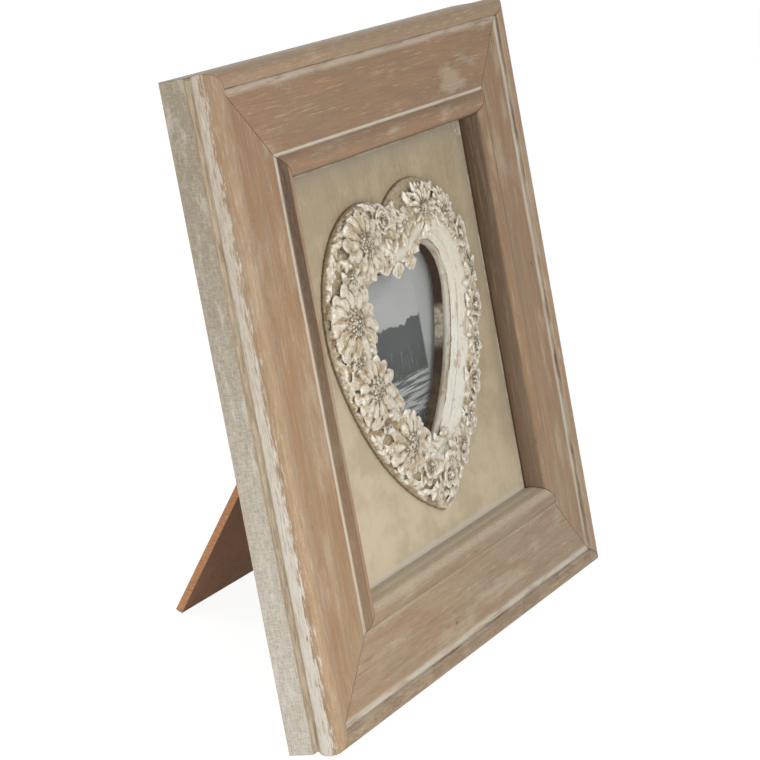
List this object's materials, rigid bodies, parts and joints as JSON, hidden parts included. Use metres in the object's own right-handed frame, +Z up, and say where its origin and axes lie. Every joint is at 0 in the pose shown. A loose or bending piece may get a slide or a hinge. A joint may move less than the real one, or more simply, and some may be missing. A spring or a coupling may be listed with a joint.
{
  "type": "table photo frame",
  "caption": "Leaning table photo frame with mitred washed-wood mouldings, a heart-shaped flower casting round a heart window, and a hinged back leg.",
  "frame": {"origin": "bottom centre of the standing object's bounding box, on the table plane", "axes": "+X across the frame to the right as seen from the front, -Y towards the viewer in front of the frame, +Z up; the frame leans back towards +Y on its leg"},
  "size_m": [0.26, 0.1202, 0.2416],
  "materials": {
    "washed_wood": "brown stain under a worn white wash",
    "washed_panel": "beige wash on a thin board",
    "silvered_casting": "cast resin with a rubbed silver and champagne finish",
    "clear_glass": "clear float glass",
    "print_paper": "grey printed paper",
    "grey_card": "grey card",
    "brown_board": "dark brown fibreboard",
    "leg_board": "dark brown fibreboard with a sawn orange-brown edge",
    "hinge_steel": "thin plated sheet steel",
    "nail_steel": "bare steel strip",
    "screw_steel": "plated steel",
    "button_steel": "stamped plated steel"
  },
  "bodies": {
    "frame": {"left_stile": "washed_wood", "right_stile": "washed_wood", "top_rail": "washed_wood", "bottom_rail": "washed_wood", "corner_v_nails": "nail_steel", "heart_panel": "washed_panel", "heart_surround": "silvered_casting", "glass_pane": "clear_glass", "photo_print": "print_paper", "backing_card": "grey_card", "backboard": "brown_board", "backboard_leaf": "hinge_steel", "hinge_pin": "hinge_steel", "backboard_rivets": "hinge_steel", "turn_button_screws": "screw_steel"},
    "leg": {"easel_leg": "leg_board", "leg_leaf": "hinge_steel", "leg_rivets": "hinge_steel"},
    "button_1": {"turn_button_1": "button_steel"},
    "button_2": {"turn_button_2": "button_steel"},
    "button_3": {"turn_button_3": "button_steel"},
    "button_4": {"turn_button_4": "button_steel"}
  },
  "joints": [
    {"name": "leg_hinge", "type": "hinge", "parent": "frame", "child": "leg", "pos_m": [0, 0.01182, 0.13941], "axis": [-1, 0, 0], "range_deg": [0, 36.7]},
    {"name": "button_1_pivot", "type": "hinge", "parent": "frame", "child": "button_1", "pos_m": [-0.098, 0.02118, 0.1711], "axis": [0, -0.9432, 0.3322], "range_deg": [-90, 90]},
    {"name": "button_2_pivot", "type": "hinge", "parent": "frame", "child": "button_2", "pos_m": [0.098, 0.02118, 0.1711], "axis": [0, -0.9432, 0.3322], "range_deg": [-90, 90]},
    {"name": "button_3_pivot", "type": "hinge", "parent": "frame", "child": "button_3", "pos_m": [-0.098, -0.01669, 0.06357], "axis": [0, -0.9432, 0.3322], "range_deg": [-90, 90]},
    {"name": "button_4_pivot", "type": "hinge", "parent": "frame", "child": "button_4", "pos_m": [0.098, -0.01669, 0.06357], "axis": [0, -0.9432, 0.3322], "range_deg": [-90, 90]}
  ]
}
